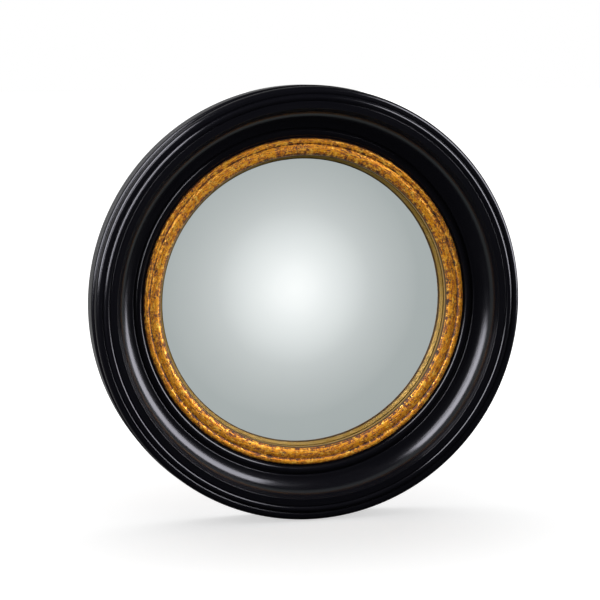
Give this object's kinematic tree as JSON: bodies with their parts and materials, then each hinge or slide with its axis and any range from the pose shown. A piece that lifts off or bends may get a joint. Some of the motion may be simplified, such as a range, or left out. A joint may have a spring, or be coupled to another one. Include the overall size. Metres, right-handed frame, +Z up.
{
  "type": "convex butlers mirror",
  "caption": "Round convex wall mirror: dished mirror glass and a worn gilt slip in a deep turned black frame, with turn-buttons and a hanging ring behind.",
  "frame": {"origin": "on the mirror's axis, in the plane of the wall that the back rim lies against", "axes": "+Z up as the mirror hangs, -Y out of the wall towards the viewer, +Y into the wall along the mirror's axis"},
  "size_m": [0.53, 0.06, 0.53],
  "materials": {
    "black_lacquer": "ebonised turned wood under satin black lacquer",
    "gilding": "turned wood, water gilt over a dark ground, rubbed and worn",
    "mirror_glass": "dished glass silvered on the back",
    "felt": "black wool felt",
    "card": "grey card",
    "hardboard": "tempered hardboard",
    "zinc_steel": "zinc plated pressed steel",
    "brassed_steel": "brass plated steel"
  },
  "bodies": {
    "mirror": {"back_ring": "black_lacquer", "back_rim": "black_lacquer", "front_moulding": "black_lacquer", "gilt_slip": "gilding", "glass_gasket": "felt", "convex_glass": "mirror_glass", "packing_ring": "card", "backing_board": "hardboard", "turn_button_screws": "zinc_steel", "moulding_screws": "zinc_steel", "hanger_strap": "brassed_steel", "hanger_screws": "brassed_steel"},
    "button_1": {"turn_button_1": "zinc_steel"},
    "button_2": {"turn_button_2": "zinc_steel"},
    "button_3": {"turn_button_3": "zinc_steel"},
    "button_4": {"turn_button_4": "zinc_steel"},
    "button_5": {"turn_button_5": "zinc_steel"},
    "button_6": {"turn_button_6": "zinc_steel"},
    "ring": {"hanger_ring": "brassed_steel"}
  },
  "joints": [
    {"name": "turn_button_1_pivot", "type": "hinge", "parent": "mirror", "child": "button_1", "pos_m": [0.2125, -0.0054, 0], "axis": [0, 1, 0], "continuous": true},
    {"name": "turn_button_2_pivot", "type": "hinge", "parent": "mirror", "child": "button_2", "pos_m": [0.10625, -0.0054, 0.18403], "axis": [0, 1, 0], "continuous": true},
    {"name": "turn_button_3_pivot", "type": "hinge", "parent": "mirror", "child": "button_3", "pos_m": [-0.10625, -0.0054, 0.18403], "axis": [0, 1, 0], "continuous": true},
    {"name": "turn_button_4_pivot", "type": "hinge", "parent": "mirror", "child": "button_4", "pos_m": [-0.2125, -0.0054, 0], "axis": [0, 1, 0], "continuous": true},
    {"name": "turn_button_5_pivot", "type": "hinge", "parent": "mirror", "child": "button_5", "pos_m": [-0.10625, -0.0054, -0.18403], "axis": [0, 1, 0], "continuous": true},
    {"name": "turn_button_6_pivot", "type": "hinge", "parent": "mirror", "child": "button_6", "pos_m": [0.10625, -0.0054, -0.18403], "axis": [0, 1, 0], "continuous": true},
    {"name": "hanger_ring_swing", "type": "hinge", "parent": "mirror", "child": "ring", "pos_m": [0, -0.00315, 0.22835], "axis": [1, 0, 0], "range_deg": [0, 180]}
  ]
}
